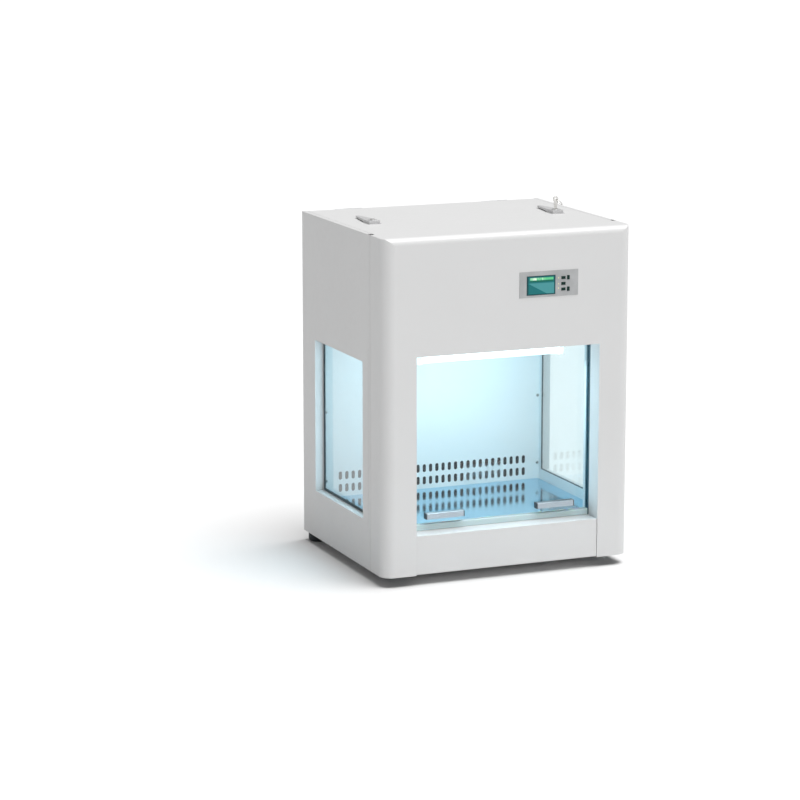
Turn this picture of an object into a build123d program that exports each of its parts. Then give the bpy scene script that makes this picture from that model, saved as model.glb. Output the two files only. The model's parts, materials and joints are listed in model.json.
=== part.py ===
from build123d import *
import os

os.makedirs("parts", exist_ok=True)

# The hood stands on the plane Z = 0. X runs across it, the front faces -Y and the origin is
# the middle of its footprint. "Depth" is measured backwards from the front sheet's face.

# ------------------------------------------------------------------ whole cabinet
overall_width = 550.0
overall_depth = 460.0
cabinet_height = 713.0          # floor to the top sheet
foot_height = 21.4              # floor to the underside of the cabinet
key_proud = 1.6                 # panel keys ahead of the front sheet
knuckle_proud = 1.5             # hinge knuckles behind the side panels' rear returns
skin = 1.2                      # folded steel sheet of the casing
liner_sheet = 1.0               # folded steel sheet of the chamber
seam = 1.0                      # gap between the cover and the side panels
slip = 0.3                      # gap between a moving piece and what it passes
over = 1.0                      # how far a cutting or joining shape runs past its edge

# ------------------------------------------------------------------ cover, front and top in one sheet
return_depth = 71.0             # depth of the cover's side returns
column_corner_r = 25.0          # vertical front corners
top_bend_r = 14.0               # bend between the front and the top
rim_r = 3.0                     # folded edge along the sides of the top
column_width = 72.0             # of the cover beside the front opening
window_half = overall_width / 2 - column_width
service_height = 231.0          # from the chamber's ceiling to the top of the cabinet
chamber_top = cabinet_height - service_height
window_drop = 10.5              # of the front opening's top edge below the ceiling
window_top = chamber_top - window_drop
reveal_depth = 42.0             # how far the edges of the front opening turn back
side_flange = 10.0              # width of each side panel's top flange
corner_relief = 16.0            # length of the open notch behind each top corner
cover_lip = 8.0                 # turned-down edge of the top sheet
cover_gap = 0.7                 # gap between the top sheet and the side panels' flanges

# ------------------------------------------------------------------ casing
inner_return = 14.0             # width of the returns at the front and rear of a side panel
bottom_flange = 78.0            # width of a side panel's bottom flange
edge_r = 2.5                    # bend radius along a side panel's outer edges
pan_sheet = 1.8
pan_flange = 20.0
rear_panel_top_gap = 0.8        # between the rear panel and the hinge knuckles

# ------------------------------------------------------------------ chamber
side_cavity = 25.0              # between the chamber and the casing's outside
rear_cavity = 70.0
chamber_half = overall_width / 2 - side_cavity
chamber_back = overall_depth - rear_cavity
work_height = 104.5             # top of the work surface
work_sheet = 1.5
work_edge = 14.0                # turned-down edge of the work surface
work_front = 72.0               # depth of the work surface's front edge
work_gap = 1.0                  # dark gap along the work surface's sides
ledge_width = 14.0
window_rear_gap = 7.0           # from a side window to the chamber's rear wall
window_sill = 18.5              # of a side window above the work surface
window_head = 33.0              # of a side window below the ceiling
# front and rear depth, bottom and top height of a side window
side_window = (113.0, chamber_back - window_rear_gap, work_height + window_sill, chamber_top - window_head)
slit_drop = 7.5                 # of the side slit below the work surface
# depth, width, bottom and top of the slit in the side skin
side_slit = (82.0, 1.0, work_height - slit_drop, chamber_top - over)
slot_width = 7.8
slot_length = 17.8
slot_pitch = 14.7
slot_columns = 30
slot_rise = 17.5                # of the lower slots' centres above the work surface
slot_row_gap = 27.0             # between the rows' centres
slot_rows = (work_height + slot_rise, work_height + slot_rise + slot_row_gap)
sill_top = 103.0
sill_recess = 1.3
sill_gap = 0.7
sill_return = 66.0              # depth of the sill's rear edge
sill_drop = 18.0
sill_foot = 20.0
gasket_width = 5.0
gasket_depth = 5.0
pane = 4.0                      # thickness of a side window
pane_bite = 3.0                 # how far the pane's edge reaches into its gasket
liner_lap = 3.0                 # how far the liner covers the gasket's edge

# ------------------------------------------------------------------ sash
guide_front = 43.3
guide_back = 61.6
guide_width = 18.0
guide_drop = 23.0               # of the guide's upper end below the top
guide_top = cabinet_height - guide_drop
sash_glass_thickness = 5.0
sash_bite = 12.0                # how far the glass reaches into each guide
sash_side_gap = 1.0
sash_play = 0.4                 # each side of the glass in its groove
sash_lap = 6.0                  # of the closed glass above the ceiling
sash_top = chamber_top + sash_lap
glass_edge = 0.6                # ground edge of the front glass
seal_height = 12.5
seal_edge_r = 2.0
seal_thickness = 15.0
seal_pocket = 3.0               # height of the seal under the glass
grip_inset = 79.0               # from the opening's edge to a grip's middle
grip_centre = window_half - grip_inset
grip_length = 85.0
grip_bottom = 127.0
grip_height = 12.0
grip_reach = 14.0
grip_wall = 2.0
grip_cap = 2.0
grip_edge_r = 1.5
grip_hole_spacing = 56.0
grip_screw_r = 1.9

# ------------------------------------------------------------------ filter and blower
diffuser_sheet = 1.0
diffuser_flange = 10.0
diffuser_slot = (44.0, 9.0)     # length and width
diffuser_pitch = (56.0, 20.0)
diffuser_margin = 30.0          # plain edge, both sides together
hepa_side_gap = 15.0            # between the filter and the chamber's sides
hepa_end_gap = 8.2
hepa_width = 2 * (chamber_half - hepa_side_gap)
hepa_depth = chamber_back - guide_back - 2 * (liner_sheet + hepa_end_gap)
hepa_height = 70.0
hepa_wall = 15.0
hepa_pleat = 10.0               # pitch of the pleats
hepa_pleat_height = 50.0
hepa_pleat_sheet = 7.5          # the slanting sheet, measured straight up
hepa_gasket_height = 4.0
plenum_height = 92.0
plenum_sheet = 1.2
plenum_overhang = 2.0           # past the chamber's sides
plenum_half = chamber_half + plenum_overhang
plenum_front = 74.0             # depth of the plenum box's front wall
inlet_r = 66.0
inlet_lip = 12.0
inlet_overlap = 4.0             # how far the inlet reaches into the impeller's eye
inlet_gap = 3.0                 # between the inlet's edge and the blades
eye_gap = 2.0                   # round the inlet
impeller_r = 95.0
impeller_height = 60.0
impeller_plate = 2.0
blade_count = 7
blade_arc = (62.0, 38.0, 70.0)  # X, Y and radius of a blade's curve
blade_sector = (-30.0, 60.0, 30.0)           # left, right and inner limit of a blade
blade_clear = 12.0              # between the motor's cup and the blades
motor_cup_r = 46.0
motor_cup_height = 38.0
motor_cup_wall = 4.0
motor_cup_roof = 6.0
motor_hub_r = 12.0
motor_hub_rise = 8.0            # from the hub plate to the hub's lower end
motor_gap = 3.0                 # between the fixed base and the wheel
motor_shaft_r = 5.0
shaft_fit = 0.05
motor_base_r = 40.0
motor_base_height = 5.0
bracket_width = 60.0
bracket_height = 12.0
prefilter_width = 320.0
prefilter_height = 110.0
prefilter_thickness = 12.0
prefilter_drop = 81.0           # from the top to the prefilter's middle
prefilter_centre = cabinet_height - prefilter_drop
prefilter_rim = 6.0
grille_slot = (56.0, 4.5)       # length and height of one slot of the rear grille
grille_columns = 5
grille_rows = 9
grille_pitch = (62.0, 11.0)

# ------------------------------------------------------------------ lamps
lamp_r = 8.0
led_drop = 35.0                 # of the lamp's centre below the ceiling
led_height = chamber_top - led_drop
led_depth = 96.0
led_side_gap = 96.0
led_half = chamber_half - led_side_gap
uv_drop = 20.0
uv_height = chamber_top - uv_drop
uv_rear_gap = 55.0              # to the chamber's rear wall
uv_depth = chamber_back - uv_rear_gap
uv_side_gap = 60.0
uv_half = chamber_half - uv_side_gap
lamp_cap_length = 12.0
lamp_cap_proud = 0.6
holder_width = 8.0
holder_depth = 22.0
holder_under = 2.0              # below the tube

# ------------------------------------------------------------------ control panel
panel_drop = 83.0               # from the top to the control plate
panel_height = 53.0
plate_top = cabinet_height - panel_drop
plate_box = (21.0, 152.0, plate_top - panel_height, plate_top)      # left, right, bottom, top
plate_thickness = 0.8
display_drop = 9.0              # of the display window below the plate's top
display_height = 39.5
display_top = plate_top - display_drop
display_box = (37.0, 101.0, display_top - display_height, display_top)
display_proud = 0.3
display_edge = 0.25             # bevel round the display window
display_bezel = 3.0
module_margin = 2.0             # of the display module round its window
board_depth = 9.0               # depth of the control board's front
board_thickness = 1.6
board_margin = 4.0
standoff_r = 2.5
standoff_inset = 3.0
key_columns = (119.0, 130.0)
upper_drop = 16.0               # of the upper keys and the upper lamp below the plate's top
middle_drop = 28.0
lower_key_drop = 39.5
lower_lamp_drop = 37.0
key_rows = (plate_top - upper_drop, plate_top - middle_drop, plate_top - lower_key_drop)
wide_key = (9.0, 5.5)
tall_key = (5.5, 8.5)
key_clearance = 0.3
key_flange = 1.5
key_flange_thickness = 1.0
key_edge_r = 0.4
key_travel = 0.5
switch_width = 5.0
switch_gap = 0.1                # behind a pressed key
led_column = 108.0
led_rows = (plate_top - upper_drop, plate_top - middle_drop, plate_top - lower_lamp_drop)
status_led_r = 1.4
led_proud = 0.3
led_edge_r = 0.5

# ------------------------------------------------------------------ latches
latch_inset = 67.5              # from the casing's side to the latch
latch_x = overall_width / 2 - latch_inset
latch_depth = 226.0             # depth of the latch's turning axis
latch_block = (25.0, 28.0, 5.0)
latch_boss = (9.5, 1.2)         # radius and height of the round boss about the plug
latch_tip = 86.0                # from the turning axis to the lever's tip
latch_lift = 1.5                # thickness of the base under the lever
latch_top = cabinet_height + latch_lift + slip + latch_block[2] + latch_boss[1]
latch_base = (29.0, 33.0)
latch_corner_r = 3.0
latch_nose = (3.5, 3.0)         # half width and length of the lever's blunt tip
latch_nose_height = 3.5
latch_slope = 6.0               # the slope starts this far inside the block
spindle_r = 8.0
cam_length = 40.0
cam_width = 15.0
cam_thickness = 3.0
cam_drop = 13.0                 # from the top of the sheet to the top of the cam
cam_nut = (6.0, 4.0)            # radius and height
plug_r = 5.5
plug_depth = 6.0
plug_fit = 0.06
plug_floor = 1.2                # left under the keyway
plug_proud = 0.6
keyway = (7.0, 2.0)             # across and front to back
key_bow_r = 6.2
key_hole_r = 2.4
key_hole_rise = 1.0             # above the bow's centre
key_neck = 8.5                  # width of the neck under the bow
key_shoulder = 8.0              # the blade's step above the latch
key_height = 27.0
key_blade = 6.5
key_thickness = 1.8
keeper_reach = 33.0
keeper_width = 30.0
keeper_drop = 22.0

# ------------------------------------------------------------------ hinges, fasteners, feet, inlet
hinge_inset = 105.0             # from the casing's side to a hinge's middle
hinge_x = overall_width / 2 - hinge_inset
hinge_width = 60.0
hinge_sheet = 1.5
knuckle_r = 3.5
pin_r = 1.5
pin_fit = 0.05
knuckle_split = 0.3
leaf_length = 26.0
leaf_gap = 0.4                  # between the fixed leaf and the moving knuckles
leaf_setback = 3.0              # from the knuckles to the moving leaf's plate
screw_head_r = 4.0
screw_head = 2.0
rear_screw_head = 1.2
screw_edge_r = 0.8
liner_screw_r = 3.5
rear_screw_drop = 33.0          # of the highest rear screw below the top
rear_screw_rows = (60.0, 220.0, 380.0, 540.0, cabinet_height - rear_screw_drop)
liner_screw_rise = 35.0         # of the lowest liner screw above the work surface
liner_screw_drop = 42.5         # of the highest below the ceiling
liner_screw_low = work_height + liner_screw_rise
liner_screw_high = chamber_top - liner_screw_drop
liner_screw_rows = (liner_screw_low, (liner_screw_low + liner_screw_high) / 2, liner_screw_high)
liner_screw_inset = 4.0         # from the chamber's side
liner_screw_x = chamber_half - liner_screw_inset
foot_r = 20.0
foot_edge_r = 6.0
rear_foot_inset = 25.0          # from the casing's side to a rear foot's middle
rear_foot_back = 23.0           # from the casing's rear
front_foot_inset = 50.0
front_foot_depth = 120.0
rear_foot = (overall_width / 2 - rear_foot_inset, overall_depth - rear_foot_back)       # X and depth
front_foot = (overall_width / 2 - front_foot_inset, front_foot_depth)
foot_stem_r = 4.0
inlet_inset = 75.0              # from the casing's side to the inlet's middle
inlet_x = overall_width / 2 - inlet_inset
inlet_z = 62.0
inlet_flange = (50.0, 28.0)
inlet_plate = 2.0               # thickness of the flange
inlet_corner_r = 5.0
inlet_body = (31.0, 24.0)
inlet_socket = (24.0, 17.0)
inlet_length = 26.0
inlet_socket_depth = 17.0
inlet_chamfer = 4.0
inlet_pins = ((-7.0, -2.0), (0.0, 2.0), (7.0, -2.0))
inlet_pin = (2.0, 10.0, 4.0)    # width, length and height
supply_size = (90.0, 26.0, 120.0)
supply_gap = 2.0                # in front of the inlet
supply_vents = 7
vent_start = 20.0               # height of the lowest vent above the floor
vent_pitch = 12.0
vent_height = 6.0
vent_depth = 1.5

# ------------------------------------------------------------------ derived places
half_width = overall_width / 2
front_y = -overall_depth / 2 + key_proud
rear_y = overall_depth / 2 - knuckle_proud
base_z = foot_height
pan_z = base_z + skin
floor_z = pan_z + pan_sheet
panel_front = return_depth + seam
liner_outer = chamber_half + liner_sheet
rear_panel_y = rear_y - skin
knuckle_y = overall_depth / 2 - knuckle_r
knuckle_z = cabinet_height - knuckle_r
sheet_z = cabinet_height - skin
filter_z = chamber_top + diffuser_sheet
plenum_z = filter_z + hepa_height + hepa_gasket_height
plenum_top = plenum_z + plenum_height
sash_y0 = (guide_front + guide_back - sash_glass_thickness) / 2
sash_y1 = sash_y0 + sash_glass_thickness
work_ledge_z = work_height - work_sheet - work_edge


def depth(d):
    """Y of a place d behind the front sheet's face."""
    return front_y + d


def block(x0, x1, y0, y1, z0, z1):
    """Box between two opposite corners."""
    return Pos((x0 + x1) / 2, (y0 + y1) / 2, (z0 + z1) / 2) * Box(x1 - x0, y1 - y0, z1 - z0)


def upright(x, y, z0, z1, r):
    """Vertical cylinder."""
    return Pos(x, y, (z0 + z1) / 2) * Cylinder(r, z1 - z0)


def along_x(x0, x1, y, z, r):
    """Cylinder lying across the cabinet."""
    return Pos((x0 + x1) / 2, y, z) * Rot(0, 90, 0) * Cylinder(r, x1 - x0)


def along_y(x, y0, y1, z, r):
    """Cylinder lying front to back."""
    return Pos(x, (y0 + y1) / 2, z) * Rot(90, 0, 0) * Cylinder(r, y1 - y0)


def mirrored(shape):
    """The left-hand twin of a right-hand piece."""
    return mirror(shape, about=Plane.YZ)


def slot_grid(pitch_x, pitch_y, columns, rows, slot, thickness):
    """Grid of slots round the origin, cut through thickness both ways."""
    face = Sketch() + [place * slot for place in GridLocations(pitch_x, pitch_y, columns, rows)]
    return extrude(face, thickness, both=True)


def save(shape, name):
    """Write one node."""
    export_step(shape, f"parts/{name}.step")


def save_group(shapes, name):
    """Write several separate solids as one node."""
    solids = [solid for shape in shapes for solid in shape.solids()]
    export_step(Compound(children=solids), f"parts/{name}.step")


def save_pair(shape, name):
    """Write a right-hand piece and its mirror image as two nodes."""
    save(shape, f"right_{name}")
    save(mirrored(shape), f"left_{name}")


# ------------------------------------------------------------------ cover
def cover_form(inset, overrun):
    """Solid form of the cover's front, pulled in by inset and run on past its open ends."""
    x = half_width - inset
    z = cabinet_height - inset
    back = depth(return_depth) + overrun
    plan = block(-x, x, front_y + inset, back, base_z - overrun, z)
    fold = plan
    plan = fillet(plan.edges().filter_by(Axis.Z).group_by(Axis.Y)[0], column_corner_r - inset)
    rim = plan.faces().sort_by(Axis.Z)[-1].edges()
    rim = [edge for edge in rim if edge.center().Y < back - over]
    plan = fillet(rim, rim_r - inset)
    front_edge = fold.faces().sort_by(Axis.Z)[-1].edges().sort_by(Axis.Y)[0]
    fold = fillet(front_edge, top_bend_r - inset)
    return plan & fold


def key_list():
    """Centre, width and height of each panel key."""
    wide = [(key_columns[0], z, *wide_key) for z in key_rows]
    tall = [(key_columns[1], z, *tall_key) for z in (key_rows[0], key_rows[-1])]
    return wide + tall


def panel_cut(y0, y1, grow):
    """Openings for the keys and the status lights, grown all round."""
    cuts = []
    for x, z, width, height in key_list():
        cuts.append(block(x - width / 2 - grow, x + width / 2 + grow, y0, y1,
                          z - height / 2 - grow, z + height / 2 + grow))
    for z in led_rows:
        cuts.append(along_y(led_column, y0, y1, z, status_led_r))
    return cuts


def make_cover():
    """Front and top in one folded sheet, with the front opening's edges turned back."""
    cover = cover_form(0, 0) - cover_form(skin, over)
    top_half = half_width - side_flange - cover_gap
    sheet_rear = knuckle_y - knuckle_r - rear_panel_top_gap
    top = block(-top_half, top_half, depth(top_bend_r), sheet_rear, sheet_z, cabinet_height)
    lip_front = depth(return_depth + corner_relief)
    for side in (-1, 1):
        x0, x1 = sorted((side * (top_half - skin), side * top_half))
        top += block(x0, x1, lip_front, sheet_rear, sheet_z - cover_lip, sheet_z)
    cover += top
    cover -= block(-window_half, window_half, front_y - over, front_y + skin, base_z - over, window_top)
    edge = window_half + skin
    for side in (-1, 1):
        x0, x1 = sorted((side * window_half, side * edge))
        cover += block(x0, x1, front_y, depth(reveal_depth), base_z, window_top + skin)
    cover += block(-edge, edge, front_y, depth(reveal_depth), window_top, window_top + skin)
    x0, x1, z0, z1 = display_box
    cover -= block(x0 + display_bezel, x1 - display_bezel, front_y - over, front_y + skin,
                   z0 + display_bezel, z1 - display_bezel)
    for cut in panel_cut(front_y - over, front_y + skin, key_clearance):
        cover -= cut
    for side in (-1, 1):
        cover -= upright(side * latch_x, depth(latch_depth), sheet_z, cabinet_height, spindle_r + slip)
    return cover


# ------------------------------------------------------------------ casing
def make_side_panel():
    """Right side: skin, flanges and the turned-in frame of the side window."""
    front = depth(panel_front)
    form = block(half_width - bottom_flange, half_width, front, rear_y, base_z, cabinet_height)
    outer = form.edges().filter_by(Axis.Z).group_by(Axis.X)[-1].sort_by(Axis.Y)[-1]
    top = form.edges().filter_by(Axis.Y).group_by(Axis.Z)[-1].sort_by(Axis.X)[-1]
    form = fillet([outer, top], edge_r)
    inside = half_width - skin
    hollow = block(half_width - bottom_flange - over, inside, front + skin, rear_y - skin, pan_z, sheet_z)
    hollow = fillet([hollow.edges().filter_by(Axis.Z).group_by(Axis.X)[-1].sort_by(Axis.Y)[-1],
                     hollow.edges().filter_by(Axis.Y).group_by(Axis.Z)[-1].sort_by(Axis.X)[-1]],
                    edge_r - skin)
    panel = form - hollow
    low_x = half_width - bottom_flange - 1
    return_x = half_width - inner_return
    panel -= block(low_x, return_x, front - over, rear_y + over, pan_z, cabinet_height + over)
    relief_end = depth(return_depth + corner_relief)
    flange_x = half_width - side_flange
    panel -= block(return_x - over, flange_x, relief_end, rear_y + over, sheet_z, cabinet_height + over)
    panel -= block(return_x - over, inside, front - over, relief_end, sheet_z, cabinet_height + over)
    panel += block(flange_x, flange_x + skin, relief_end, rear_panel_y - skin, sheet_z - cover_lip, sheet_z)
    y0, y1, z0, z1 = window_extent()
    frame = block(liner_outer, inside, y0 - skin, y1 + skin, z0 - skin, z1 + skin)
    panel += frame
    panel -= block(liner_outer - over, half_width + over, y0, y1, z0, z1)
    slit_depth, slit_width, slit_bottom, slit_top = side_slit
    panel -= block(inside - over, half_width + over, depth(slit_depth) - slit_width / 2,
                   depth(slit_depth) + slit_width / 2, slit_bottom, slit_top)
    for x, d in (rear_foot, front_foot):
        panel -= upright(x, depth(d), base_z - over, pan_z + over, foot_stem_r)
    return panel


def window_extent():
    """Front, rear, bottom and top of the side window's clear opening."""
    return depth(side_window[0]), depth(side_window[1]), side_window[2], side_window[3]


def make_base_pan():
    """Floor of the cabinet, with its edges turned up and a tongue under the sill."""
    inside = half_width - skin
    front = depth(panel_front) + skin
    back = rear_panel_y - skin
    pan = block(-inside, inside, front, back, pan_z, pan_z + pan_flange)
    pan -= block(-inside + pan_sheet, inside - pan_sheet, front + pan_sheet, back - pan_sheet,
                 floor_z, pan_z + pan_flange + over)
    tongue_half = window_half - sill_gap - skin
    open_half = liner_outer + slip
    pan -= block(-open_half, open_half, front - over, front + pan_sheet, floor_z, pan_z + pan_flange + over)
    pan += block(-tongue_half, tongue_half, depth(sill_recess + skin + slip), front + pan_sheet,
                 pan_z, floor_z)
    for side in (-1, 1):
        for x, d in (rear_foot, front_foot):
            pan -= upright(side * x, depth(d), pan_z - over, floor_z + over, foot_stem_r)
    return pan


def make_front_sill():
    """Folded panel under the front opening; its top runs back under the sash."""
    x = window_half - sill_gap
    y0 = depth(sill_recess)
    y1 = depth(sill_return)
    sill = block(-x, x, y0, y0 + skin, floor_z, sill_top)
    sill += block(-x, x, y0, y1, sill_top - skin, sill_top)
    sill += block(-x, x, y1 - skin, y1, sill_top - sill_drop, sill_top)
    sill += block(-x, x, y0, depth(sill_foot), floor_z, floor_z + skin)
    return sill


def make_rear_panel():
    """Back of the casing, with the intake grille, the power inlet's cut-out and a stiffening flange."""
    x = half_width - edge_r - slip
    y0 = rear_panel_y - skin
    top = knuckle_z - knuckle_r - rear_panel_top_gap
    panel = block(-x, x, y0, rear_panel_y, floor_z + slip, top)
    flange_half = hinge_x + hinge_width
    panel += block(-flange_half, flange_half, y0 - pan_flange, y0, top - skin, top)
    slots = slot_grid(*grille_pitch, grille_columns, grille_rows, SlotOverall(*grille_slot), 3 * skin)
    panel -= Pos(0, rear_panel_y, prefilter_centre) * Rot(90, 0, 0) * slots
    panel -= block(inlet_x - inlet_body[0] / 2, inlet_x + inlet_body[0] / 2, y0 - over, rear_panel_y + over,
                   inlet_z - inlet_body[1] / 2, inlet_z + inlet_body[1] / 2)
    return panel


# ------------------------------------------------------------------ chamber
def make_liner():
    """Right chamber wall, with the post that carries the sash guide and the work surface's ledge."""
    front = depth(guide_back)
    back = depth(chamber_back)
    liner = block(chamber_half, liner_outer, front, back, floor_z, chamber_top)
    liner += block(window_half, liner_outer, front, front + liner_sheet, floor_z, guide_top)
    hem_back = depth(work_front - slip)
    liner += block(window_half, window_half + liner_sheet, front, hem_back, floor_z, chamber_top)
    liner += block(chamber_half, chamber_half + diffuser_flange, front, back,
                   chamber_top - liner_sheet, chamber_top)
    liner += block(chamber_half - ledge_width, chamber_half, front + work_gap + liner_sheet, back,
                   work_ledge_z - liner_sheet, work_ledge_z)
    y0, y1, z0, z1 = window_extent()
    liner -= block(chamber_half - over, liner_outer + over, y0 + liner_lap, y1 - liner_lap,
                   z0 + liner_lap, z1 - liner_lap)
    return liner


def make_back_liner():
    """Back wall of the chamber, pierced by two rows of upright slots."""
    y0 = depth(chamber_back)
    wall = block(-liner_outer, liner_outer, y0, y0 + liner_sheet, floor_z, chamber_top)
    slot = SlotOverall(slot_length, slot_width, 90)
    row = Rot(90, 0, 0) * slot_grid(slot_pitch, slot_pitch, slot_columns, 1, slot, 3 * liner_sheet)
    for z in slot_rows:
        wall -= Pos(0, y0, z) * row
    return wall


def make_work_surface():
    """Lift-out tray that stands on the liners' ledges."""
    x = chamber_half - work_gap
    y0 = depth(work_front)
    y1 = depth(chamber_back - work_gap)
    tray = block(-x, x, y0, y1, work_ledge_z, work_height)
    tray = fillet(tray.faces().sort_by(Axis.Z)[-1].edges(), work_sheet)
    tray -= block(-x + work_sheet, x - work_sheet, y0 + work_sheet, y1 - work_sheet,
                  work_ledge_z - over, work_height - work_sheet)
    return tray


def make_window_gasket():
    """Rubber frame of the right side window."""
    y0, y1, z0, z1 = window_extent()
    x0 = liner_outer
    ring = block(x0, x0 + gasket_depth, y0, y1, z0, z1)
    ring -= block(x0 - over, x0 + gasket_depth + over, y0 + gasket_width, y1 - gasket_width,
                  z0 + gasket_width, z1 - gasket_width)
    return ring - make_window_glass()


def make_window_glass():
    """Right side window."""
    y0, y1, z0, z1 = window_extent()
    bite = gasket_width - pane_bite
    middle = liner_outer + gasket_depth / 2
    return block(middle - pane / 2, middle + pane / 2, y0 + bite, y1 - bite, z0 + bite, z1 - bite)


# ------------------------------------------------------------------ sash
def make_sash_guide():
    """Right-hand channel in which the front glass slides."""
    x0 = window_half
    guide = block(x0, x0 + guide_width, depth(guide_front), depth(guide_back), floor_z, guide_top)
    groove_x = x0 + sash_bite + sash_side_gap
    guide -= block(x0 - over, groove_x, depth(sash_y0 - sash_play), depth(sash_y1 + sash_play),
                   sill_top, guide_top + over)
    return guide


def grip_screw_places():
    """X of each grip screw."""
    return [side * grip_centre + end * grip_hole_spacing / 2 for side in (-1, 1) for end in (-1, 1)]


def make_sash_glass():
    """Front glass."""
    x = window_half + sash_bite
    z0 = sill_top + slip + seal_pocket
    glass = block(-x, x, depth(sash_y0), depth(sash_y1), z0, sash_top)
    glass = chamfer(glass.edges().filter_by(Axis.X), glass_edge)
    for place in grip_screw_places():
        glass -= along_y(place, depth(sash_y0) - over, depth(sash_y1) + over, grip_bottom + grip_height / 2,
                         grip_screw_r)
    return glass


def make_sash_seal():
    """Clear strip that caps the glass's lower edge."""
    x = window_half - work_gap
    middle = (sash_y0 + sash_y1) / 2
    z0 = sill_top + slip
    seal = block(-x, x, depth(middle - seal_thickness / 2), depth(middle + seal_thickness / 2),
                 z0, z0 + seal_height)
    seal = fillet(seal.edges().filter_by(Axis.X).group_by(Axis.Z)[-1], seal_edge_r)
    glass_bottom = z0 + seal_pocket
    return seal - block(-x - over, x + over, depth(sash_y0), depth(sash_y1), glass_bottom,
                        z0 + seal_height + over)


def make_grip(side):
    """Extruded finger grip: a shelf with a turned-down lip, open underneath."""
    middle = side * grip_centre
    x0 = middle - grip_length / 2 + grip_cap
    x1 = middle + grip_length / 2 - grip_cap
    y0 = depth(sash_y0 - grip_reach)
    y1 = depth(sash_y0)
    top = grip_bottom + grip_height
    grip = block(x0, x1, y0, y1, grip_bottom, top)
    grip = fillet(grip.edges().filter_by(Axis.X).group_by(Axis.Z)[-1].sort_by(Axis.Y)[0], grip_edge_r)
    grip -= block(x0 - over, x1 + over, y0 + grip_wall, y1 - grip_wall, grip_bottom - over, top - grip_wall)
    for place in grip_screw_places():
        grip -= along_y(place, y1 - grip_wall - over, y1 + over, grip_bottom + grip_height / 2, grip_screw_r)
    return grip


def make_grip_caps():
    """Moulded end caps of both grips."""
    caps = []
    for side in (-1, 1):
        for end in (-1, 1):
            outer = side * grip_centre + end * grip_length / 2
            x0, x1 = sorted((outer, outer - end * grip_cap))
            cap = block(x0, x1, depth(sash_y0 - grip_reach), depth(sash_y0), grip_bottom,
                        grip_bottom + grip_height)
            edge = cap.edges().filter_by(Axis.X).group_by(Axis.Z)[-1].sort_by(Axis.Y)[0]
            caps.append(fillet(edge, grip_edge_r))
    return caps


def make_grip_screws():
    """Screws through the glass into the grips, their heads on the chamber side."""
    screws = []
    for place in grip_screw_places():
        z = grip_bottom + grip_height / 2
        screw = along_y(place, depth(sash_y0) - grip_wall, depth(sash_y1), z, grip_screw_r)
        head = along_y(place, depth(sash_y1), depth(sash_y1) + screw_head, z, screw_head_r)
        screws.append(screw + head)
    return screws


# ------------------------------------------------------------------ filter and blower
def make_diffuser():
    """Perforated ceiling of the chamber."""
    x = chamber_half + diffuser_flange
    y0 = depth(guide_back) + 2 * liner_sheet
    y1 = depth(chamber_back) + liner_sheet
    plate = block(-x, x, y0, y1, chamber_top, filter_z)
    middle = (y0 + y1) / 2
    pitch_x, pitch_y = diffuser_pitch
    columns = int((2 * chamber_half - diffuser_margin) // pitch_x)
    rows = int((y1 - y0 - diffuser_margin) // pitch_y)
    slot = SlotOverall(*diffuser_slot)
    slots = slot_grid(pitch_x, pitch_y, columns, rows, slot, 3 * diffuser_sheet)
    return plate - Pos(0, middle, chamber_top) * slots


def filter_middle():
    """Y of the filter's centre."""
    return (depth(guide_back) + 2 * liner_sheet + depth(chamber_back)) / 2


def make_hepa_frame():
    """Frame of the fine filter."""
    y = filter_middle()
    frame = Pos(0, y, filter_z + hepa_height / 2) * Box(hepa_width, hepa_depth, hepa_height)
    return frame - Pos(0, y, filter_z + hepa_height / 2) * Box(
        hepa_width - 2 * hepa_wall, hepa_depth - 2 * hepa_wall, hepa_height + 2 * over)


def make_hepa_media():
    """Pleated pack of the fine filter, one zigzag sheet."""
    width = hepa_width - 2 * hepa_wall
    length = hepa_depth - 2 * hepa_wall
    folds = int(width // hepa_pleat)
    step = width / folds
    low = filter_z + (hepa_height - hepa_pleat_height) / 2
    lower = []
    upper = []
    for i in range(folds + 1):
        x = -width / 2 + i * step
        z = low if i % 2 == 0 else low + hepa_pleat_height - hepa_pleat_sheet
        lower.append((x, z))
        upper.append((x, z + hepa_pleat_sheet))
    outline = Polyline(*lower, *reversed(upper), close=True)
    pack = extrude(make_face(outline), length / 2, both=True)
    return Pos(0, filter_middle(), 0) * Rot(90, 0, 0) * pack


def make_hepa_gasket():
    """Sealing ring between the fine filter and the plenum box."""
    z = filter_z + hepa_height + hepa_gasket_height / 2
    y = filter_middle()
    ring = Pos(0, y, z) * Box(hepa_width, hepa_depth, hepa_gasket_height)
    return ring - Pos(0, y, z) * Box(hepa_width - 2 * hepa_wall, hepa_depth - 2 * hepa_wall,
                                     hepa_gasket_height + 2 * over)


def make_plenum():
    """Pressure box over the filter, with a pressed inlet and flanges that reach the side panels."""
    y0 = depth(plenum_front)
    y1 = depth(chamber_back) + liner_sheet
    box = block(-plenum_half, plenum_half, y0, y1, plenum_z, plenum_top)
    box -= block(-plenum_half + plenum_sheet, plenum_half - plenum_sheet, y0 + plenum_sheet,
                 y1 - plenum_sheet, plenum_z + plenum_sheet, plenum_top - plenum_sheet)
    y = filter_middle()
    box -= Pos(0, y, plenum_z) * Box(hepa_width - 2 * hepa_wall, hepa_depth - 2 * hepa_wall, 4 * plenum_sheet)
    for side in (-1, 1):
        x0, x1 = sorted((side * (plenum_half - plenum_sheet), side * (half_width - skin)))
        box += block(x0, x1, y0, y1, plenum_top - plenum_sheet, plenum_top)
    lip = upright(0, y, plenum_top - inlet_lip, plenum_top, inlet_r + plenum_sheet)
    box += lip
    box -= upright(0, y, plenum_top - inlet_lip - over, plenum_top + over, inlet_r)
    return box


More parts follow.
